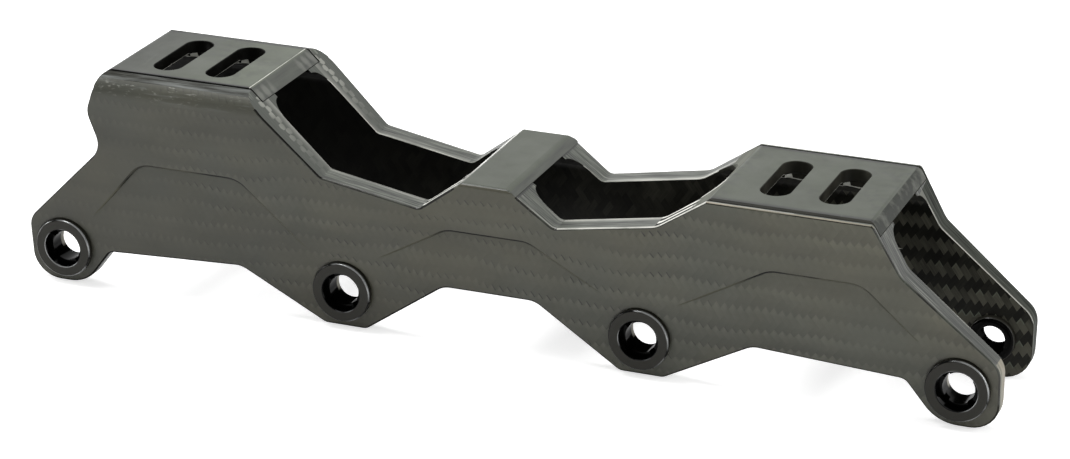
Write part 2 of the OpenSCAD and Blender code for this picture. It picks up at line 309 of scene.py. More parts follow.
def select_parts(kind, test):
    """In edit mode, selects only the faces or edges that pass a test."""
    mesh = bpy.context.edit_object.data
    bpy.ops.mesh.select_mode(type="FACE" if kind == "faces" else "EDGE")
    bpy.ops.mesh.select_all(action="DESELECT")
    shape = bmesh.from_edit_mesh(mesh)
    for part in getattr(shape, kind):
        if test(part):
            part.select_set(True)
    shape.select_flush_mode()
    bmesh.update_edit_mesh(mesh)


def apply_modifier(piece, kind, **settings):
    """Adds a modifier to the active piece and applies it."""
    modifier = piece.modifiers.new(kind.lower(), kind)
    for name, value in settings.items():
        setattr(modifier, name, value)
    bpy.ops.object.modifier_apply(modifier=modifier.name)


def smooth(piece):
    """Smooth shading that keeps flat faces flat and real corners sharp."""
    make_active(piece)
    bpy.ops.object.shade_smooth_by_angle(angle=SMOOTH_ANGLE)
    apply_modifier(piece, "WEIGHTED_NORMAL", keep_sharp=True, weight=100)


def welded_copy(node, name):
    """A copy of a CAD node with its loose triangles merged."""
    mesh = frame["nodes"][node].data.copy()
    mesh.name = name
    mesh.materials.clear()
    piece = bpy.data.objects.new(name, mesh)
    bpy.context.collection.objects.link(piece)
    make_active(piece)
    edit_all()
    bpy.ops.mesh.customdata_custom_splitnormals_clear()
    bpy.ops.mesh.remove_doubles(threshold=WELD)
    leave_edit()
    return piece


def round_edges(piece, radius_of, largest, finish_index, segments=3):
    """Rounds every sharp convex edge by the radius that radius_of gives for it, in a finish of its own."""
    shape = bmesh.new()
    shape.from_mesh(piece.data)
    weight = shape.edges.layers.float.new("bevel_weight_edge")
    for edge in shape.edges:
        if len(edge.link_faces) == 2 and edge.is_convex and edge.calc_face_angle() > SHARP_ANGLE:
            edge[weight] = radius_of(edge) / largest
    shape.to_mesh(piece.data)
    shape.free()
    make_active(piece)
    apply_modifier(piece, "BEVEL", limit_method="WEIGHT", offset_type="OFFSET", width=largest,
                   segments=segments, use_clamp_overlap=False, loop_slide=False, material=finish_index)


def shaped(node, name, finishes, radius_of, largest, choose):
    """A copy of a CAD node with its edges rounded, and a finish chosen for each face."""
    piece = welded_copy(node, name)
    names = list(finishes)
    for finish in finishes.values():
        piece.data.materials.append(finish)
    for face in piece.data.polygons:
        face.material_index = 1
    round_edges(piece, radius_of, largest, 0)
    for face in piece.data.polygons:
        face.material_index = names.index(choose(face, face.material_index == 0))
    edit_all()
    bpy.ops.mesh.dissolve_limited(angle_limit=FLAT_ANGLE, delimit={"MATERIAL"})
    leave_edit()
    smooth(piece)
    return piece


def stand_for(piece, node):
    """Hides the CAD node that a finished piece stands for, and hangs the piece under the root body."""
    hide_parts(node)
    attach(piece, "root")


def sum_of(operation, swapped=False):
    """A method that makes one sum of an amount and another amount or a plain number."""
    def method(amount, other=0.0):
        pair = (other, amount) if swapped else (amount, other)
        return amount.finish.math(operation, *pair)
    return method


class Amount:
    """A number that changes over a surface, for sums that are written as plain ones are."""

    def __init__(self, finish, socket):
        self.finish = finish
        self.socket = socket

    __add__ = sum_of("ADD")
    __sub__ = sum_of("SUBTRACT")
    __rsub__ = sum_of("SUBTRACT", swapped=True)
    __mul__ = sum_of("MULTIPLY")
    __truediv__ = sum_of("DIVIDE")
    __mod__ = sum_of("FLOORED_MODULO")
    __pow__ = sum_of("POWER")
    __abs__ = sum_of("ABSOLUTE")
    __gt__ = sum_of("GREATER_THAN")
    __lt__ = sum_of("LESS_THAN")
    at_least = sum_of("MAXIMUM")
    at_most = sum_of("MINIMUM")
    to_and_fro = sum_of("PINGPONG")
    floor = sum_of("FLOOR")
    round = sum_of("ROUND")
    fraction = sum_of("FRACT")
    root = sum_of("SQRT")
    cosine = sum_of("COSINE")

    def near(self, value, reach):
        """1 within reach of a value, and 0 elsewhere."""
        return self.finish.math("COMPARE", self, value, reach)

    def spread(self, low, high, to_low=0.0, to_high=1.0):
        """Stretches part of a range over another, and holds it at both ends."""
        inputs = {0: self, 1: low, 2: high, 3: to_low, 4: to_high}
        return Amount(self.finish, self.finish.add("MapRange", inputs, clamp=True)[0])


class Finish:
    """Short calls for the shader nodes that the finishes share."""

    def __init__(self, tree):
        self.tree = tree

    @classmethod
    def material(cls, name):
        """A new material's finish, with its shader and its Object coordinates."""
        material = bpy.data.materials.new(name)
        material.use_nodes = True
        finish = cls(material.node_tree)
        finish.owner = material
        finish.shader = material.node_tree.nodes["Principled BSDF"].inputs
        finish.place = finish.add("TexCoord")["Object"]
        axes = finish.add("SeparateXYZ", {0: finish.place})
        finish.x, finish.y, finish.z = (Amount(finish, axis) for axis in axes)
        return finish

    def put(self, socket, value):
        """Links a socket to an amount or another socket, or sets it."""
        value = getattr(value, "socket", value)
        if isinstance(value, bpy.types.NodeSocket):
            self.tree.links.new(value, socket)
        else:
            socket.default_value = value

    def add(self, kind, inputs=None, **settings):
        """Adds a node and returns its outputs."""
        node = self.tree.nodes.new("ShaderNode" + kind)
        for name, value in settings.items():
            setattr(node, name, value)
        for key, value in (inputs or {}).items():
            self.put(node.inputs[key], value)
        return node.outputs

    def math(self, operation, first, second=0.0, third=0.0):
        """One sum on plain numbers."""
        return Amount(self, self.add("Math", {0: first, 1: second, 2: third}, operation=operation)[0])

    def mix(self, factor, first, second):
        """A number between two others."""
        return Amount(self, self.add("Mix", {0: factor, 2: first, 3: second}, data_type="FLOAT")[0])

    def blend(self, factor, first, second, mode="MIX"):
        """A colour between two others."""
        return self.add("Mix", {0: factor, 6: opaque(first), 7: opaque(second)},
                        data_type="RGBA", blend_type=mode)[2]

    def shaded(self, colour, level):
        """A colour made lighter or darker by an amount."""
        grey = self.add("CombineColor", {0: level, 1: level, 2: level})[0]
        return self.blend(1.0, colour, grey, "MULTIPLY")

    def noise(self, scale, detail=2.0, roughness=0.5):
        """Cloudy noise from 0 to 1, of one scale all round or of one for each axis."""
        vector = self.place
        if isinstance(scale, tuple):
            vector = self.add("VectorMath", {0: self.place, 1: scale}, operation="MULTIPLY")[0]
            scale = 1.0
        inputs = {"Vector": vector, "Scale": scale, "Detail": detail, "Roughness": roughness}
        return Amount(self, self.add("TexNoise", inputs)[0])

    def bands(self, along, roughness=0.5):
        """Noise from 0 to 1 that changes with one amount alone."""
        inputs = {"W": along, "Scale": 1.0, "Detail": 2.0, "Roughness": roughness}
        return Amount(self, self.add("TexNoise", inputs, noise_dimensions="1D")[0])

    def specks(self, scale, size):
        """Small round specks, one in some of the cells of a grid of that scale."""
        cells = self.add("TexVoronoi", {"Vector": self.place, "Scale": scale})
        chance = self.add("SeparateColor", {0: cells["Color"]})[0]
        return (Amount(self, cells["Distance"]) < size) * (Amount(self, chance) > 0.75)

    def twill(self, along, across, tow):
        """The amounts of a twill weave in a plane of two coordinates, by name."""
        group = bpy.data.node_groups.get("twill") or build_twill()
        node = self.tree.nodes.new("ShaderNodeGroup")
        node.node_tree = group
        for socket, value in zip(node.inputs, (along, across, tow)):
            self.put(socket, value)
        return {socket.name: Amount(self, socket) for socket in node.outputs}

    def coat(self, colour, roughness, relief, height, strength, gloss=0.5):
        """The material with its colour and roughness, a relief of that height and one gloss all over."""
        bump = self.add("Bump", {"Height": relief, "Distance": height, "Strength": strength})[0]
        self.put(self.shader["Base Color"], colour)
        self.put(self.shader["Roughness"], roughness)
        self.put(self.shader["Specular IOR Level"], gloss)
        self.put(self.shader["Normal"], bump)
        return self.owner


def recipe(lay):
    """Makes a function that lays a finish into a call for the material of the same name."""
    def material(look):
        return lay(Finish.material(lay.__name__), look)
    return material


def opaque(colour):
    """A colour with full alpha, or a linked colour as it is."""
    if isinstance(colour, bpy.types.NodeSocket):
        return colour
    return (*colour[:3], 1.0)


def build_twill():
    """Two-by-two twill at 45 degrees: which tow is on top, its crown, its edges and a number per float."""
    group = bpy.data.node_groups.new("twill", "ShaderNodeTree")
    f = Finish(group)
    given = group.nodes.new("NodeGroupInput").outputs
    for name in ("Along", "Across", "Tow"):
        group.interface.new_socket(name, in_out="INPUT", socket_type="NodeSocketFloat")
    along, across, tow = (Amount(f, given[name]) for name in ("Along", "Across", "Tow"))
    cell = tow * math.sqrt(2)
    u = (along + across) / cell
    v = (across - along) / cell
    column = u.floor()
    row = v.floor()
    u_part = u - column
    v_part = v - row
    step = column + row
    phase = step % 4.0
    over = phase < 1.5
    last = phase.near(1.0, 0.5)
    width_part = f.mix(over, v_part, u_part)
    length_part = (phase - f.mix(over, 2.0, 0.0) + f.mix(over, u_part, v_part)) / 2.0
    key = f.add("CombineXYZ", {0: f.mix(over, row, column), 1: (step / 4.0).floor(), 2: over})[0]
    chance = Amount(f, f.add("TexWhiteNoise", {"Vector": key}, noise_dimensions="3D")[0])
    strand = f.add("CombineXYZ", {0: width_part * 7.0, 1: length_part * 0.7, 2: chance * 40.0})[0]
    side_arch = 1.0 - (1.0 - width_part.to_and_fro(0.5) * 2.0) ** 2.0
    end_arch = 1.0 - (1.0 - length_part.to_and_fro(0.5) * 2.0) ** 4.0
    made = {
        "Over": over,
        "Crown": side_arch * end_arch,
        "Tick": last * u_part.spread(0.76, 0.88),
        "Rise": last * v_part.spread(0.76, 0.88),
        "Crest": last * u_part.at_most(v_part).spread(0.15, 0.70),
        "Slope": (over + length_part) * 0.5,
        "Chance": chance,
        "Fibre": f.add("TexNoise", {"Vector": strand, "Scale": 1.0, "Detail": 1.0})[0],
    }
    taken = group.nodes.new("NodeGroupOutput").inputs
    for name, value in made.items():
        group.interface.new_socket(name, in_out="OUTPUT", socket_type="NodeSocketFloat")
        f.put(taken[name], value)
    return group


@recipe
def satin_laminate(f, look):
    """Outside of the walls: satin lacquer in which the weave shows more in some patches than in others,
    with painted light along the wall and painted shade and highlights on the weave.
    """
    wander = f.noise(24.0).spread(0.3, 0.7, -2.2 * MM, 2.2 * MM)
    weave = f.twill(f.x, (f.z + wander) * 0.82, look.tow_width)
    from_heel = f.x.spread(-100 * MM, -30 * MM, 0.35, 1.0)
    near_toe = f.x.spread(25 * MM, 75 * MM)
    patch = from_heel * f.noise(38.0, 3.0).spread(0.38, 0.58, 0.42, 1.30)
    smear = f.noise((20.0, 20.0, 95.0), 4.0, 0.6).spread(0.32, 0.68, 0.82, 1.18)
    # Painted light: the wall gets lighter towards the toe and higher up.
    toe_light = f.x.spread(-120 * MM, 70 * MM, 0.72, 1.20)
    light_upwards = f.z.spread(5 * MM, 45 * MM, 0.92, 1.06)
    tow_tone = f.mix(patch, 1.0, f.mix(weave["Chance"], 0.95, 1.05))
    # Painted shade across each weave row, dark at its foot and light at its top, and painted highlights on
    # the tow crests.
    lobe_shading = f.mix(weave["Slope"], f.mix(near_toe, 0.86, 0.79), f.mix(near_toe, 1.14, 1.22))
    band_shading = f.mix(patch, 1.0, lobe_shading)
    tint = f.blend(f.noise(30.0, 3.0).spread(0.38, 0.62), look.outside_colour, look.outside_cool)
    plain = f.shaded(tint, smear * toe_light * light_upwards * tow_tone * band_shading)
    shoulder = f.z.spread(REAR_TOP_Z - 6 * MM, REAR_TOP_Z - 2 * MM) * (f.x < SHOULDER_X)
    lit = f.blend(weave["Crest"] * patch * f.mix(shoulder, 0.30, 0.0), plain, look.crest_colour)
    line = weave["Tick"].at_least(weave["Rise"] * 0.22)
    broken = f.noise(110.0).spread(0.40, 0.56, 0.15, 1.0) * f.mix(near_toe, 1.0, 0.40)
    lined = f.blend(line * patch * broken, lit, look.line_colour)
    streak = f.noise((60.0, 800.0, 800.0), 3.0, 0.6)
    scuffed = f.blend(shoulder * streak.spread(0.54, 0.68, 0.0, 0.7), lined, look.scuff_colour)
    fleck = f.noise((450.0, 1500.0, 1500.0), 2.0, 0.6).spread(0.60, 0.67)
    behind = f.x.spread(-84 * MM, -74 * MM, 0.60, 0.15)
    dots = (fleck * shoulder * behind).at_least(f.specks(160.0, 0.030) * 0.15)
    rough = f.noise(90.0, 3.0).spread(0.3, 0.7, 0.33, 0.45)
    woven = (weave["Crown"] - line * 0.5) * patch
    pitted = f.noise(900.0) * (shoulder + 0.25)
    return f.coat(f.blend(dots, scuffed, look.pale_colour),
                  f.mix(shoulder, rough, streak.spread(0.40, 0.66, 0.62, 0.40)),
                  woven + pitted, 0.022 * MM, 0.8)


@recipe
def mould_crease(f, look):
    """Edge of a pocket, darkened in broken stretches above the pocket's foot: dark resin and painted shade
    in the crease.
    """
    dark = f.noise(60.0, 3.0).spread(0.38, 0.54, 0.12, 1.0)
    ends = f.x.spread(85 * MM, 100 * MM, POCKET_Z[0] + 10.5 * MM, POCKET_Z[0] + 7.5 * MM)
    above = f.z.spread(ends, POCKET_Z[0] + 13.5 * MM)
    return f.coat(f.blend(dark * above, look.outside_colour, look.inside_dark), f.mix(dark, 0.42, 0.50),
                  f.noise(600.0), 0.02 * MM, 0.6, gloss=0.25)


@recipe
def scuffed_rim(f, look):
    """Top of the shoulder beside the rear deck: dull, with streaks along it."""
    streak = f.noise((55.0, 900.0, 900.0), 4.0, 0.6)
    return f.coat(f.blend(streak.spread(0.44, 0.72), look.line_colour, look.scuff_colour),
                  streak.spread(0.3, 0.7, 0.60, 0.40), streak, 0.03 * MM, 0.6, gloss=0.08)


@recipe
def rubbed_line(f, look):
    """Painted highlight along thin edges: a pale colour broken up by noise, with a smooth gloss."""
    wear_and_highlight = f.noise(70.0, 3.0).spread(0.28, 0.52)
    return f.coat(f.blend(wear_and_highlight, look.cut_colour, look.rubbed_colour), f.mix(wear_and_highlight, 0.34, 0.20),
                  f.noise(600.0), 0.01 * MM, 0.4)


@recipe
def edge_lacquer(f, look):
    """Rounded outside edges, where the lacquer lies dark and glossy."""
    wear_and_highlight = f.noise((120.0, 500.0, 120.0), 3.0).spread(0.45, 0.75, 0.0, 0.7)
    return f.coat(f.blend(wear_and_highlight, look.line_colour, look.cut_colour),
                  f.noise(200.0, 3.0).spread(0.3, 0.7, 0.16, 0.30), f.noise(700.0), 0.01 * MM, 0.5)


@recipe
def gloss_laminate(f, look):
    """Inside of the channel: clear lacquer over zig-zag bands of dark and light tows."""
    weave = f.twill(f.x, f.z * 0.70, look.tow_width)
    # Painted light: the inside gets lighter towards the toe opening and lower down, with painted glints on
    # floats near the toe.
    toe = f.x.spread(45 * MM, 95 * MM)
    low = f.z.spread(12 * MM, 44 * MM, 1.0, 0.55)
    even = f.x.spread(-40 * MM, 60 * MM, 0.08, 0.42)
    cloud = f.noise(55.0).spread(0.35, 0.65, 0.60, 1.20)
    lit = f.mix(toe, even, f.mix(weave["Over"], 0.20, 1.45)) * low * cloud
    tow_tone = f.mix(weave["Chance"], 0.40, 1.35) * weave["Fibre"].spread(0.3, 0.7, 0.75, 1.20)
    tone = f.blend(lit * tow_tone, look.inside_dark, look.inside_light)
    glint = weave["Tick"].at_least(weave["Rise"]) * (weave["Chance"] > 0.62)
    foot = f.z.spread(16 * MM, 36 * MM, 0.85, 0.0)
    glinted = f.blend(glint * toe * foot, tone, look.cut_colour)
    return f.coat(f.blend(f.specks(110.0, 0.04), glinted, look.pale_colour),
                  weave["Fibre"].spread(0.3, 0.7, 0.34, 0.44), weave["Crown"], 0.004 * MM, 0.6, gloss=0.16)


@recipe
def dark_resin(f, look):
    """Near-black resin under the plates, in the slots and on inner edges, also laid as painted shade on
    edges in seams and creases; painted light makes it a little greyer towards the toe.
    """
    cloud = f.noise((160.0, 160.0, 70.0)).spread(0.35, 0.70)
    # Painted light: greyer towards the toe, where light comes into the channel.
    toe_light_share = f.mix(cloud, 0.35, 1.0) * f.x.spread(0.0, 60 * MM, 0.03, 0.42)
    return f.coat(f.blend(toe_light_share, look.inside_dark, look.inside_light), f.mix(cloud, 0.36, 0.55),
                  f.noise(500.0), 0.01 * MM, 0.5, gloss=0.10)


def ply_streaks(f, fray_share):
    """Streaks from 0 to 1 that follow the edge, as the plies do, from the inner face to the outer one."""
    line = f.bands(abs(f.y) * (1.25 / MM) + f.noise(45.0) * 2.0, 0.55)
    fray = f.noise((110.0, 2000.0, 110.0), 3.0, 0.6)
    return f.mix(fray_share, line, fray).spread(0.38, 0.62)


def ply_stripes(f):
    """Stripes from 0 to 1 along the plies of a slope, the first one beside the channel, where painted
    reflection goes.
    """
    wave = (abs(f.y) - (WALL_IN + 0.4 * MM)) * (math.tau / STRIPE_PITCH)
    return wave.cosine().spread(-0.15, 0.45)


@recipe
def cut_edge(f, look):
    """Sanded edge of the laminate: plies as streaks along it, and the weave cut open on the rear slope."""
    streak = ply_streaks(f, 0.60)
    across = abs(f.y)
    on_slope = f.x.near(REAR_SLOPE_X, REAR_SLOPE_REACH)
    by_toe = f.x.spread(TOE_X, TOE_X + 10 * MM, 1.0, 0.45)
    body = f.blend(f.mix(on_slope, streak ** 1.4 * by_toe, 0.35), look.ply_colour, look.cut_colour)
    pale = f.noise((70.0, 1500.0, 70.0)).spread(0.58, 0.70, 0.0, 0.7)
    opened_body = f.blend(f.mix(on_slope, pale, 0.0), body, look.pale_colour)
    under_cap = f.z.spread(BRIDGE_LOW.z - 0.45 * MM, BRIDGE_LOW.z - 0.2 * MM)
    joint = under_cap * f.x.near(BRIDGE_FOOT_X, BRIDGE_FOOT_X)
    jointed = f.blend(joint, opened_body, look.ply_colour)

    # Painted highlights along the inner and outer edges of the slopes by the windows.
    off_feet = (abs(f.x) > SILL_X[0]) * (across > WALL_IN - 0.2 * MM)
    by_inside = across.spread(WALL_IN + 0.2 * MM, WALL_IN + 2.2 * MM, 0.75, 0.0) * off_feet
    outer = (f.z - AXLE_Z) * math.tan(DRAFT) + WALL_OUT
    by_outside = (outer - across).spread(0.3 * MM, 1.1 * MM, 0.65, 0.0) * (1.0 - on_slope)
    window = (abs(f.x) < EDGE_HIGHLIGHT_REACH) * f.x.spread(-20 * MM, 20 * MM, 0.40, 1.0)
    patchy = f.noise(80.0).spread(0.38, 0.56, 0.35, 1.0)
    with_edge_highlights = f.blend(by_inside.at_least(by_outside) * window * patchy, jointed, look.rubbed_colour)

    count = f.x / (1.4 * MM)
    number = count.floor()
    along = (count - number - 0.5) * 1.35
    zigzag = (number % 2.0 - 0.5) * (0.9 * MM)
    off = (across - (zigzag + (WALL_IN + 3.3 * MM))) / (1.05 * MM)
    ragged = along ** 2.0 + off ** 2.0 + f.noise(800.0).spread(0.3, 0.7, -0.35, 0.35)
    upper = on_slope * f.x.spread(-58 * MM, -48 * MM, 1.0, 0.15)
    where = upper * f.noise(140.0, 1.0).spread(0.36, 0.54, 0.55, 1.0)
    opened = ragged.spread(0.45, 1.05, 0.85, 0.0) * where
    return f.coat(f.blend(opened, with_edge_highlights, look.pale_colour), f.mix(streak, 0.48, 0.28),
                  streak, 0.03 * MM, 0.6)


@recipe
def polished_edge(f, look):
    """Cut edge with painted reflection: near-white stripes between dark plies, without gloss."""
    streak = f.mix(0.10, ply_stripes(f), ply_streaks(f, 0.60))
    return f.coat(f.blend(streak, look.ply_colour, look.bright_colour), f.mix(streak, 0.62, 0.20),
                  streak, 0.01 * MM, 0.4, gloss=0.0)


@recipe
def dull_edge(f, look):
    """Cut edge that was never polished: dark and dull, with a thin pale line along the channel."""
    streak = ply_streaks(f, 0.60)
    body = f.blend(streak * 0.45, look.ply_colour, look.cut_colour)
    inner = abs(f.y).spread(WALL_IN + 0.3 * MM, WALL_IN + 0.8 * MM, 0.6, 0.0)
    return f.coat(f.blend(inner, body, look.pale_colour), f.mix(streak, 0.60, 0.45),
                  streak, 0.03 * MM, 0.5, gloss=0.08)


@recipe
def worn_nose(f, look):
    """Blunt ends of the walls and the front rim's lip, made pale with painted light."""
    streak = ply_streaks(f, 0.30)
    return f.coat(f.blend(streak, look.cut_colour, look.nose_colour), f.mix(streak, 0.5, 0.35),
                  streak, 0.03 * MM, 0.5)


@recipe
def sanded_plate(f, look):
    """Top of a plate: sanded smooth and grey, darker at the heel, with faint clouds, scratches and pits."""
    cloud = f.noise(60.0, 4.0, 0.6).spread(0.3, 0.7, 0.84, 1.16)
    from_heel = f.x.spread(-106 * MM, -70 * MM, 0.45, 1.50) - f.x.spread(-62 * MM, -40 * MM, 0.0, 0.42)
    tinted = f.shaded(look.colour, cloud * from_heel)
    in_front = f.x > FRONT_X
    # Darker strip along each long edge of a deck's top, beside the seam.
    from_side = f.mix(in_front, DECK_BOXES[0][1].y, DECK_BOXES[1][1].y) - abs(f.y)
    bond = f.mix(in_front, from_side.spread(0.6 * MM, 1.5 * MM, 0.9, 0.0),
                 from_side.spread(1.6 * MM, 2.8 * MM, 0.93, 0.0))
    on_deck = abs(f.x) > BRIDGE_REACH
    plain = f.blend(bond * on_deck, tinted, look.seam_colour)
    scratch = f.noise((900.0, 70.0, 900.0)).spread(0.64, 0.72, 0.0, 0.40)
    marked = f.blend(scratch, plain, look.end_light)
    by_scoop = in_front * f.x.spread(58 * MM, 63 * MM, 0.75, 0.0)
    cloudy = f.noise(45.0).spread(0.50, 0.66, 0.0, 0.55)
    rub = f.noise(420.0, 3.0).spread(0.46, 0.60) * cloudy.at_least(by_scoop)
    rubbed = f.blend(rub, marked, look.end_dark)
    pits = f.specks(220.0, 0.05) * 0.8
    grain = f.noise((500.0, 120.0, 500.0)) - pits * 0.6
    return f.coat(f.blend(pits, rubbed, look.end_dark), f.noise(140.0, 3.0).spread(0.3, 0.7, 0.33, 0.45),
                  grain, 0.02 * MM, 0.5)


def cross_plies(f):
    """Plies from 0 to 1 that run across the frame, as they show in a plate's cut end."""
    return f.noise((700.0, 60.0, 700.0), 3.0, 0.6)


@recipe
def plate_end(f, look):
    """Cut end of a plate: plies across the frame, and the weave cut open in ovals on the rear deck."""
    ply = cross_plies(f)
    body = f.blend(ply.spread(0.34, 0.66), look.end_dark, look.end_light)
    across = abs(f.y)
    part = (across / (3.4 * MM)).fraction() - 0.5
    height = (f.z - (REAR_TOP_Z - 1.9 * MM)) / (1.5 * MM)
    slant = part * 2.6 + height * 0.15
    ragged = slant ** 2.0 + height ** 2.0 + f.noise(300.0).spread(0.3, 0.7, -0.5, 0.5)
    opened = across.spread(6 * MM, 9 * MM) * ragged.spread(0.1, 1.3, 0.50, 0.0)
    return f.coat(f.blend(opened, body, look.pale), ply.spread(0.3, 0.7, 0.34, 0.50), ply, 0.02 * MM, 0.5)


@recipe
def scooped_end(f, look):
    """Scooped end of the front deck: a painted highlight along the scoop, and painted reflection in plies
    over the near wall.
    """
    ply = cross_plies(f)
    body = f.blend(ply.spread(0.34, 0.66, 0.6, 1.0), look.end_light, look.pale)
    across = abs(f.y)
    near = f.y.spread(-6 * MM, -2 * MM, 1.0, 0.0)
    below_top = f.x.spread(SCOOP_X - 3.5 * MM, SCOOP_X - 2.5 * MM, 1.0, 0.0)
    # Painted reflection in stripes over the near wall.
    plies = f.blend(ply_stripes(f), look.seam_colour, look.line_colour)
    striped = f.blend(near * below_top * (across > WALL_IN), body, plies)
    past_x = (f.x - (SCOOP_X - SCOOP_R)).at_least(0.0)
    past_y = (across - (WALL_IN - SCOOP_R)).at_least(0.0)
    from_centre = (past_x ** 2.0 + past_y ** 2.0).root()
    # Painted highlight along the scoop's edge on the near side.
    line = near * from_centre.spread(SCOOP_R + 0.5 * MM, SCOOP_R + 1.0 * MM, 0.95, 0.0)
    return f.coat(f.blend(line, striped, look.line_colour), ply.spread(0.3, 0.7, 0.40, 0.55),
                  ply, 0.02 * MM, 0.5, gloss=0.0)


@recipe
def smudged_end(f, look):
    """Front end of the front deck: dark and dull, with pale smudges down it."""
    smudge = f.noise((200.0, 180.0, 120.0), 4.0, 0.6)
    return f.coat(f.blend(smudge.spread(0.48, 0.80), look.end_dark, look.pale),
                  smudge.spread(0.3, 0.7, 0.40, 0.55), smudge, 0.02 * MM, 0.5, gloss=0.16)


def from_nearest_axle(f):
    """Distance to the toe and height above the nearest axle."""
    from_second = f.x - AXLES[1].x
    bay = (from_second / AXLE_PITCH).round()
    return from_second - bay * AXLE_PITCH, f.z - AXLE_Z


@recipe
def black_anodised(f, look):
    """Turned and anodised metal, with faint rings round each axle."""
    along, height = from_nearest_axle(f)
    rings = f.bands((along ** 2.0 + height ** 2.0).root() * 9000.0)
    return f.coat(opaque(look.colour), rings.spread(0.3, 0.7, 0.30, 0.42),
                  rings, 0.006 * MM, 0.6, gloss=0.28)


@recipe
def black_bore(f, look):
    """Inside of a bush: black, with a painted reflection as a pale streak deep down on the heel side of
    each bore.
    """
    inner_end = PLAIN_BOX[1].y
    deep = f.y.spread(inner_end - 1.9 * MM, inner_end - 1.4 * MM) * (f.y < inner_end - 0.2 * MM)
    heel = from_nearest_axle(f)[0].spread(-3.3 * MM, -3.7 * MM)
    turned = f.noise((150.0, 3000.0, 150.0))
    streak = deep * heel * turned.spread(0.3, 0.7, 0.5, 1.0)
    return f.coat(f.blend(streak, look.bore_colour, look.streak_colour),
                  turned.spread(0.3, 0.7, 0.10, 0.18), turned, 0.003 * MM, 0.5, gloss=0.07)


@recipe
def turned_rim(f, look):
    """Thin edges of a bush with a painted highlight in bright metal, all over the upper toe side and in
    noisy patches elsewhere.
    """
    along, height = from_nearest_axle(f)
    upper = (along + height).spread(6.0 * MM, 9.5 * MM)
    rubbed = f.noise(110.0).spread(0.52, 0.66, 0.0, 0.8).at_least(upper)
    f.put(f.shader["Metallic"], 0.6)
    return f.coat(f.blend(rubbed, look.bore_colour, look.rim_colour), f.mix(rubbed, 0.16, 0.26),
                  f.noise(900.0), 0.004 * MM, 0.5)


def middle_of(edge):
    """The point halfway along an edge."""
    return (edge.verts[0].co + edge.verts[1].co) / 2


def wall_radius(look, side):
    """Rounding of a wall's edges: none in the deck seats or by a bush, a little inside, more outside."""
    def in_seat(point):
        return any(low.x - END_REACH < point.x < high.x + END_REACH and point.z > low.z - 0.05 * MM
                   and abs(point.y) < high.y + SEAT_GAP for low, high in DECK_BOXES)

    def radius(edge):
        middle = middle_of(edge)
        inner, outer = sorted(edge.link_faces, key=lambda face: face.normal.y * side)
        by_bush = any(math.hypot(middle.x - axle.x, middle.z - axle.z) < BUSH_CLEAR for axle in AXLES)
        under_cap = (BRIDGE_LOW.x < middle.x < BRIDGE_HIGH.x and abs(middle.y) > WALL_IN + MM
                     and middle.z > BRIDGE_LOW.z - 0.5 * MM)
        if by_bush or under_cap or in_seat(middle) or min(inner.normal.z, outer.normal.z) > PARTLY:
            return 0.0
        if inner.normal.y * side < -SQUARELY or abs(middle.y) < WALL_IN + 0.5 * MM:
            return look.inner_round
        if inner.normal.z < -A_LITTLE and POCKET_Z[0] < middle.z < POCKET_Z[1]:
            return look.crease_round
        return look.outer_round
    return radius


def wall_finish(side):
    """Finish of each face of a wall, by its place and the way that it faces."""
    front_low, front_high = DECK_BOXES[1]

    def in_slots(face):
        return any(start < face.center.x < end for start, end in SLOT_ROWS)

    def rounded_edge(face):
        x, y, z = face.center
        # Line here is a painted highlight: on the ledges' lower slot edges, the inner top edges and the
        # near sills.
        if abs(y) < WALL_IN - 0.3 * MM:
            return "line" if face.normal.z < -BARELY and in_slots(face) else "resin"
        if abs(y) < WALL_IN + 0.5 * MM:
            return "line" if face.normal.z > A_LITTLE else "resin"
        # Resin on edges that face down, and on some slope edges by the bridge and in the rear half, is
        # painted shade.
        if face.normal.z < -BARELY:
            return "crease" if POCKET_Z[0] < z < POCKET_Z[1] else "resin"
        up_to_bridge = side < 0 and -SILL_X[0] - MM < x < 0 and face.normal.x < -SLIGHTLY
        if up_to_bridge or (x < 0 and face.normal.x > SLIGHTLY):
            return "resin"
        if side < 0 and SILL_X[0] < x < SILL_X[1] and face.normal.z > PARTLY:
            return "line"
        # The front rim's lip takes the nose finish as a painted highlight; the rest of its rounded edges
        # take the crease finish, with its painted shade.
        if front_low.x < x < front_high.x and z > front_high.z - MM:
            return "nose" if face.normal.z > MOSTLY else "crease"
        return "edge"

    def choose(face, rounded):
        x, y, z = face.center
        outward = face.normal.y * side
        if rounded and BARELY < abs(outward) < FULLY:
            return rounded_edge(face)
        on_shoulder = x < SHOULDER_X and z > REAR_TOP_Z - 3 * MM
        if on_shoulder and face.normal.z > NEARLY and abs(y) > WALL_IN:
            return "rim"
        if outward > PARTLY:
            return "satin"
        if abs(y) < WALL_IN - 0.3 * MM:
            if in_slots(face):
                # The far ledge's slot ends take a painted glint.
                return "line" if side > 0 and SLOT_GLINT[0] < face.normal.x < SLOT_GLINT[1] else "resin"
            return "cut" if face.normal.x > PARTLY else "resin"
        if outward < -HALFWAY:
            return "gloss"
        if side > 0 and face.normal.x > PARTLY and x > TOE_X:
            return "dull"
        if face.normal.x > NEARLY and x > NOSE_X:
            return "nose"
        # Slopes by the windows on the near wall that face the heel take the painted reflection.
        in_window = abs(x) < WINDOW_REACH and face.normal.z > 0
        return "bright" if side < 0 and face.normal.x < -PARTLY and in_window else "cut"
    return choose


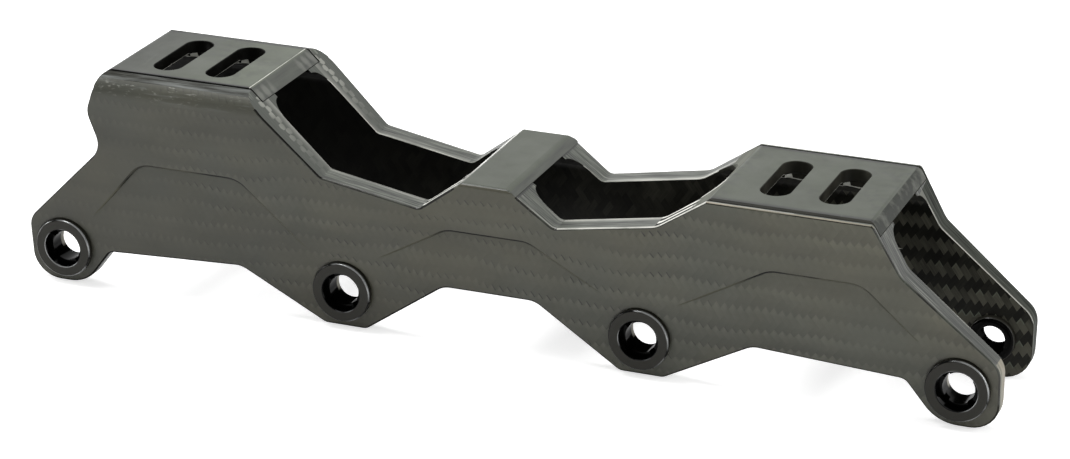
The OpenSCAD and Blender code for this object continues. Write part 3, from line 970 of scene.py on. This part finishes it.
class SKATEFRAME_OT_walls(bpy.types.Operator):
    """Moulded side walls with rounded edges, woven outside and inside"""

    bl_idname = "skate_frame.walls"
    bl_label = "Side walls"

    def execute(self, context):
        look = context.scene.skate_laminate
        recipes = {"edge": edge_lacquer, "satin": satin_laminate, "gloss": gloss_laminate, "cut": cut_edge,
                   "bright": polished_edge, "nose": worn_nose, "crease": mould_crease, "resin": dark_resin,
                   "rim": scuffed_rim, "line": rubbed_line, "dull": dull_edge}
        finishes = {use: make(look) for use, make in recipes.items()}
        largest = max(look.outer_round, look.crease_round)
        for node, side in (("right_wall", -1), ("left_wall", 1)):
            piece = shaped(node, node + "_laminate", finishes, wall_radius(look, side), largest,
                           wall_finish(side))
            stand_for(piece, node)
        return {"FINISHED"}


def plate_radius(look, node):
    """Rounding of a plate's edges: none in the corners of a scooped end or where the cap meets a wall."""
    low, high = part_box(node)

    def radius(edge):
        middle = middle_of(edge)
        at_rear = middle.x - low.x < END_REACH
        beside_scoop = SCOOP_SIDE_Y[0] < abs(middle.y) < SCOOP_SIDE_Y[1]
        in_scoop = node == "front_deck" and at_rear and beside_scoop
        low_side = node == "bridge" and abs(middle.y) > high.y - 3 * MM and middle.z < high.z - MM
        return 0.0 if in_scoop or low_side else look.edge_round
    return radius


def plate_finish(node):
    """Finish of each face of a plate, by its place and the way that it faces."""
    low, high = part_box(node)

    def choose(face, rounded):
        if node == "bridge" and abs(face.normal.y) > MOSTLY:
            return "side"
        # A plate's sides, in the seam's gap, take the resin finish as painted shade.
        at_side = abs(face.center.y) > high.y - 2 * MM
        if node != "bridge" and at_side and abs(face.normal.y) > SLIGHTLY:
            return "dark"
        at_front = high.x - face.center.x < END_REACH
        at_rear = face.center.x - low.x < END_REACH
        # Line here is a painted highlight: on one facet of the rear deck's front edge, under the slots,
        # along the front deck's lower front edge and on the bridge's rear.
        if node == "rear_deck" and at_front and REAR_LINE[0] < face.normal.z < REAR_LINE[1]:
            return "line"
        if face.normal.z > SQUARELY:
            return "top"
        under_slot = abs(face.center.y) < LEDGE_TIP_Y and not (at_front or at_rear)
        if rounded and face.normal.z < -BARELY and (under_slot or (at_front and node == "front_deck")):
            return "line"
        if not (at_front or at_rear) or face.normal.z < -PARTLY:
            return "dark"
        if node == "bridge" and face.normal.x < -PARTLY:
            return "dark" if rounded else "line"
        if node == "front_deck":
            return "smudged" if at_front else "scooped"
        return "end"
    return choose


class SKATEFRAME_OT_plates(bpy.types.Operator):
    """Slotted deck plates and the bridge cap, sanded on top and cut at the ends"""

    bl_idname = "skate_frame.plates"
    bl_label = "Decks and bridge"

    def execute(self, context):
        look = context.scene.skate_plate
        shared = {"edge": "edge_lacquer", "side": "satin_laminate", "dark": "dark_resin",
                  "line": "rubbed_line"}
        finishes = {use: bpy.data.materials[name] for use, name in shared.items()}
        recipes = {"top": sanded_plate, "end": plate_end, "smudged": smudged_end, "scooped": scooped_end}
        finishes.update({use: make(look) for use, make in recipes.items()})
        for node in ("rear_deck", "front_deck", "bridge"):
            piece = shaped(node, node + "_plate", finishes, plate_radius(look, node), look.edge_round,
                           plate_finish(node))
            stand_for(piece, node)
        return {"FINISHED"}


def turned_bush(name, look, axle, face_y, inward, mouth_r, bore_r):
    """A flanged bush modelled from a cylinder: flange, mouth or head recess, bore and sleeve."""
    deselect_all()
    bpy.ops.mesh.primitive_cylinder_add(
        vertices=look.sides, radius=FLANGE_R, depth=look.flange_t,
        location=(axle.x, face_y + inward * look.flange_t / 2, axle.z), rotation=(math.pi / 2, 0, 0))
    piece = bpy.context.object
    piece.name = name
    piece.data.name = name
    settle()
    edit_all()

    def depth_of(point):
        return (point.y - face_y) * inward

    def radius_of(point):
        return math.hypot(point.x - axle.x, point.z - axle.z)

    def push(depth):
        bpy.ops.mesh.extrude_region_move(TRANSFORM_OT_translate={"value": (0, inward * depth, 0)})

    def disc(depth):
        def test(face):
            centre = face.calc_center_median()
            return abs(depth_of(centre) - depth) < TOUCH and radius_of(centre) < TOUCH
        return test

    def ring(radius, depth):
        def test(edge):
            return all(abs(radius_of(v.co) - radius) < 3 * TOUCH and abs(depth_of(v.co) - depth) < TOUCH
                       for v in edge.verts)
        return test

    def notched(depth):
        def test(face):
            centre = face.calc_center_median()
            if abs(depth_of(centre) - depth) > TOUCH or radius_of(centre) > mouth_r:
                return False
            turn = math.degrees(math.atan2(centre.z - axle.z, centre.x - axle.x)) % 90
            return radius_of(centre) < TOUCH or abs(turn - 45) < NOTCH_HALF_TURN
        return test

    select_parts("faces", disc(0.0))
    bpy.ops.mesh.inset(thickness=FLANGE_R - mouth_r)
    done = 0.0
    if mouth_r > bore_r:
        push(look.head_depth)
        bpy.ops.mesh.inset(thickness=mouth_r - bore_r)
        select_parts("faces", notched(look.head_depth))
        push(look.notch_depth)
        done = look.head_depth + look.notch_depth
        select_parts("faces", disc(done))
    push(BUSH_L - done)
    select_parts("faces", disc(look.flange_t))
    bpy.ops.mesh.inset(thickness=FLANGE_R - look.sleeve_r)
    push(BUSH_L - look.flange_t)
    bpy.ops.mesh.inset(thickness=look.sleeve_r - bore_r)
    select_parts("faces", disc(BUSH_L))
    bpy.ops.mesh.delete(type="ONLY_FACE")
    bpy.ops.mesh.select_all(action="SELECT")
    bpy.ops.mesh.remove_doubles(threshold=TOUCH / 2)
    bpy.ops.mesh.normals_make_consistent(inside=False)
    for radius, depth, offset, segments in (
            (FLANGE_R, 0.0, FLANGE_ROUND, 4), (FLANGE_R, look.flange_t, FLANGE_BACK_ROUND, 1),
            (mouth_r, 0.0, MOUTH_ROUND, 2), (look.sleeve_r, BUSH_L, SLEEVE_ROUND, 4),
            (bore_r, BUSH_L, BORE_ROUND, 2)):
        select_parts("edges", ring(radius, depth))
        bpy.ops.mesh.bevel(offset=offset, segments=segments, affect="EDGES")
    leave_edit()
    for finish in ("black_anodised", "black_bore", "turned_rim"):
        piece.data.materials.append(bpy.data.materials[finish])
    for face in piece.data.polygons:
        radius = radius_of(face.center)
        depth = depth_of(face.center)
        in_mouth = radius < mouth_r - 0.05 * MM or (radius < mouth_r + TOUCH and depth > look.flange_t / 4)
        at_inner_end = depth > BUSH_L - 0.4 * MM and radius < look.sleeve_r - 0.3 * MM
        on_mouth_rim = depth < 0.2 * MM and radius < mouth_r + 0.25 * MM
        on_flange_rim = 0.02 * MM < FLANGE_R - radius < 0.25 * MM and depth < 0.45 * MM
        if in_mouth or at_inner_end:
            face.material_index = 1
        # Rims take the painted highlight in bright metal.
        elif on_mouth_rim or on_flange_rim:
            face.material_index = 2
    return piece


def add_thread(bush, look, axle, face_y, inward):
    """Winds a ridge of the thread's height up the bore of a tapped bush."""
    ridge_r = (look.thread_major_r - THREAD_R) / 1.5 + RIDGE_SUNK
    margin = 0.8 * ridge_r
    turns = int(BUSH_L / look.thread_pitch) - 1
    rise = (BUSH_L - 2 * margin) / turns
    deselect_all()
    bpy.ops.mesh.primitive_circle_add(vertices=3, radius=ridge_r, rotation=(0, 0, math.pi / 2))
    ridge = bpy.context.object
    settle()
    edit_all()
    bpy.ops.transform.translate(value=(THREAD_R + ridge_r, 0, 0))
    leave_edit()
    ridge.location = (axle.x, face_y + inward * margin, axle.z)
    apply_modifier(ridge, "SCREW", axis="Y", angle=math.tau * rise / look.thread_pitch,
                   screw_offset=inward * rise, iterations=turns, steps=look.sides // 2,
                   render_steps=look.sides // 2)
    settle()
    edit_all()
    bpy.ops.mesh.remove_doubles(threshold=WELD)
    bpy.ops.mesh.fill_holes(sides=4)
    bpy.ops.mesh.select_all(action="SELECT")
    bpy.ops.mesh.normals_make_consistent(inside=False)
    leave_edit()
    ridge.data.materials.append(bpy.data.materials["black_bore"])
    ridge.select_set(True)
    bush.select_set(True)
    bpy.context.view_layer.objects.active = bush
    bpy.ops.object.join()


def bush_set(first, kind):
    """Smooths the toe bush and copies it to the other three axles, each copy with its own mesh."""
    smooth(first)
    pieces = [first]
    for axle in AXLES[1:]:
        make_active(first)
        bpy.ops.object.duplicate(linked=False)
        bpy.ops.transform.translate(value=(axle.x - AXLES[0].x, 0, 0))
        settle()
        pieces.append(bpy.context.object)
    for number, piece in enumerate(pieces, 1):
        piece.name = "%s_turned_%d" % (kind, number)
        piece.data.name = piece.name
        stand_for(piece, "%s_%d" % (kind, number))


class SKATEFRAME_OT_plain_bushes(bpy.types.Operator):
    """Near-side bushes: flange, notched recess for the axle's head and a plain bore"""

    bl_idname = "skate_frame.plain_bushes"
    bl_label = "Plain bushes"

    def execute(self, context):
        look = context.scene.skate_bush
        for finish in (black_anodised, black_bore, turned_rim):
            finish(look)
        bush = turned_bush("plain_bush", look, AXLES[0], PLAIN_BOX[0].y, 1, look.head_r, BORE_R)
        bush_set(bush, "plain_bush")
        return {"FINISHED"}


class SKATEFRAME_OT_thread_bushes(bpy.types.Operator):
    """Far-side bushes: flange and a tapped bore"""

    bl_idname = "skate_frame.thread_bushes"
    bl_label = "Tapped bushes"

    def execute(self, context):
        look = context.scene.skate_bush
        root = look.thread_major_r
        bush = turned_bush("thread_bush", look, AXLES[0], THREAD_BOX[1].y, -1, root, root)
        add_thread(bush, look, AXLES[0], THREAD_BOX[1].y, -1)
        bush_set(bush, "thread_bush")
        return {"FINISHED"}


def placed(name, data, place, target, roll=0.0):
    """A camera or lamp that stands at a place and faces a target."""
    holder = bpy.data.objects.new(name, data)
    bpy.context.scene.collection.objects.link(holder)
    aim = (Vector(target) - Vector(place)).to_track_quat("-Z", "Y")
    holder.location = place
    holder.rotation_euler = (aim.to_matrix() @ Matrix.Rotation(roll, 3, "Z")).to_euler()
    return holder


def soft_box(name, place, size, power):
    """A rectangular area lamp that faces the frame."""
    lamp = bpy.data.lights.new(name, "AREA")
    lamp.shape = "RECTANGLE"
    lamp.size, lamp.size_y = size
    lamp.energy = power
    placed(name, lamp, place, LAMP_TARGET)


@recipe
def pale_floor(f, look):
    """Pale floor that camera, glossy and transmission rays see whiter, so that the light stays plain."""
    plain = f.add("BsdfDiffuse", {"Color": opaque(look.floor_colour)})[0]
    path = f.add("LightPath")
    seen = f.math("MAXIMUM", path["Is Camera Ray"], path["Is Transmission Ray"]) * look.floor_lift
    strength = seen.at_least(f.math("MULTIPLY", path["Is Glossy Ray"], look.gloss_lift))
    glow = f.add("Emission", {"Color": WHITE, "Strength": strength})[0]
    f.put(f.tree.nodes["Material Output"].inputs["Surface"], f.add("AddShader", {0: plain, 1: glow})[0])
    return f.owner


def white_studio(look):
    """World that is white to the camera, and dim in front of the frame for the gloss."""
    world = bpy.data.worlds.new("white_studio")
    world.use_nodes = True
    f = Finish(world.node_tree)
    path = f.add("LightPath")
    seen = f.math("MAXIMUM", path["Is Camera Ray"], path["Is Transmission Ray"])
    way = f.add("SeparateXYZ", {0: f.add("TexCoord")["Generated"]})
    room = Amount(f, way["Y"]).spread(*ROOM_EDGE, look.room, 1.0)
    background = world.node_tree.nodes["Background"].inputs
    f.put(background["Color"], WHITE)
    f.put(background["Strength"], f.mix(seen, f.mix(path["Is Glossy Ray"], look.fill, room), 1.0))
    return world


class SKATEFRAME_OT_stage(bpy.types.Operator):
    """White floor, soft light and the camera"""

    bl_idname = "skate_frame.stage"
    bl_label = "Stage"

    def execute(self, context):
        scene = context.scene
        look = scene.skate_stage
        scene.view_settings.view_transform = "Standard"
        deselect_all()
        bpy.ops.mesh.primitive_plane_add(size=FLOOR_SIZE, location=(0, 0, FLOOR_Z))
        floor = bpy.context.object
        floor.name = "studio_floor"
        settle()
        floor.data.materials.append(pale_floor(look))
        scene.world = white_studio(look)
        for name, place, size, power in SOFT_BOXES:
            soft_box(name, place, size, getattr(look, power))
        view = bpy.data.cameras.new("photo_camera")
        view.sensor_fit = "HORIZONTAL"
        view.sensor_width = SENSOR_WIDTH
        view.lens = look.lens
        view.clip_start = 10 * MM
        scene.camera = placed("photo_camera", view, look.camera_place, look.camera_target, look.camera_roll)
        return {"FINISHED"}


class SKATEFRAME_PT_panel(bpy.types.Panel):
    """The frame's settings and the steps that build it"""

    bl_idname = "SKATEFRAME_PT_panel"
    bl_label = "Skate frame"
    bl_space_type = "VIEW_3D"
    bl_region_type = "UI"
    bl_category = "Skate frame"

    def draw(self, context):
        for operator, settings in STEPS.items():
            box = self.layout.box()
            box.operator(operator.bl_idname)
            group = getattr(context.scene, settings)
            for name in group.__annotations__:
                box.prop(group, name)


STEPS = {
    SKATEFRAME_OT_walls: "skate_laminate",
    SKATEFRAME_OT_plates: "skate_plate",
    SKATEFRAME_OT_plain_bushes: "skate_bush",
    SKATEFRAME_OT_thread_bushes: "skate_bush",
    SKATEFRAME_OT_stage: "skate_stage",
}
SETTINGS = {
    "skate_laminate": LaminateSettings,
    "skate_plate": PlateSettings,
    "skate_bush": BushSettings,
    "skate_stage": StageSettings,
}


def register():
    """Makes the settings, the operators and the panel known to Blender."""
    for name, group in SETTINGS.items():
        bpy.utils.register_class(group)
        setattr(bpy.types.Scene, name, PointerProperty(type=group))
    for part in (*STEPS, SKATEFRAME_PT_panel):
        bpy.utils.register_class(part)


def unregister():
    """Takes them away again."""
    for part in (SKATEFRAME_PT_panel, *reversed(STEPS)):
        bpy.utils.unregister_class(part)
    for name, group in SETTINGS.items():
        delattr(bpy.types.Scene, name)
        bpy.utils.unregister_class(group)


def main():
    """Builds the whole frame."""
    register()
    bpy.ops.skate_frame.walls()
    bpy.ops.skate_frame.plates()
    bpy.ops.skate_frame.plain_bushes()
    bpy.ops.skate_frame.thread_bushes()
    bpy.ops.skate_frame.stage()


if __name__ == "__main__":
    main()
